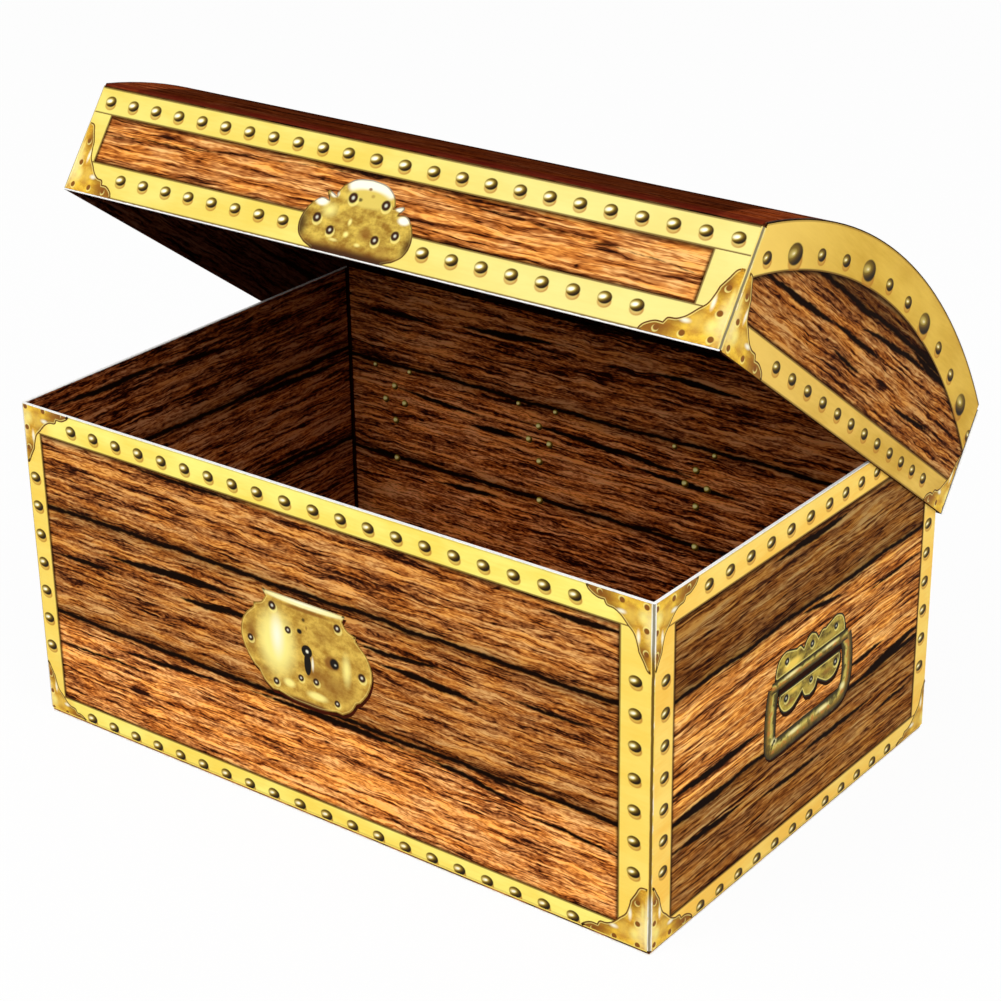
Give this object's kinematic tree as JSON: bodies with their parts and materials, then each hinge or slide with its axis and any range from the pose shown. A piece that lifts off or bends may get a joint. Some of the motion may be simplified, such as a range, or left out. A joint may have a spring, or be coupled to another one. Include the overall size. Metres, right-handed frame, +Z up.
{
  "type": "paperboard treasure chest",
  "caption": "Small folded paperboard chest with a barrel lid that swings on a creased hinge, printed to look like planks and studded brass bands, for holding small gifts or sweets.",
  "frame": {"origin": "middle of the box's footprint, on the face it stands on", "axes": "+Z up, +X along the length towards the right end seen from the front, -Y out of the front panel"},
  "size_m": [0.2052, 0.1536, 0.1715],
  "materials": {
    "plank_print": "brown plank print with gilt bands under a thin satin varnish",
    "dark_plank_print": "dark red-brown plank print under a thin satin varnish",
    "gilt_print": "printed gilt bands, studs, corner plates, lock and handle, satin",
    "plain_board": "unprinted white board, matt"
  },
  "bodies": {
    "root": {"front_panel": "plank_print", "right_end_panel": "plank_print", "back_panel": "plank_print", "left_end_panel": "plank_print", "side_seam_flap": "plain_board", "bottom_panel": "plain_board", "bottom_front_flap": "plain_board", "bottom_left_flap": "plain_board", "bottom_right_flap": "plain_board", "hinge_flap": "plank_print"},
    "lid": {"lid_front_lip": "plank_print", "lid_roof": "dark_plank_print", "lid_back_lip": "plank_print", "lid_left_end": "plank_print", "lid_right_end": "plank_print", "lid_left_roof_tabs": "plain_board", "lid_right_roof_tabs": "plain_board", "lid_left_back_flap": "plain_board", "lid_right_back_flap": "plain_board"}
  },
  "joints": [
    {"name": "lid_hinge", "type": "hinge", "parent": "root", "child": "lid", "pos_m": [0, 0.0689, 0.0646], "axis": [-1, 0, 0], "range_deg": [-36.1, 138.9]}
  ]
}
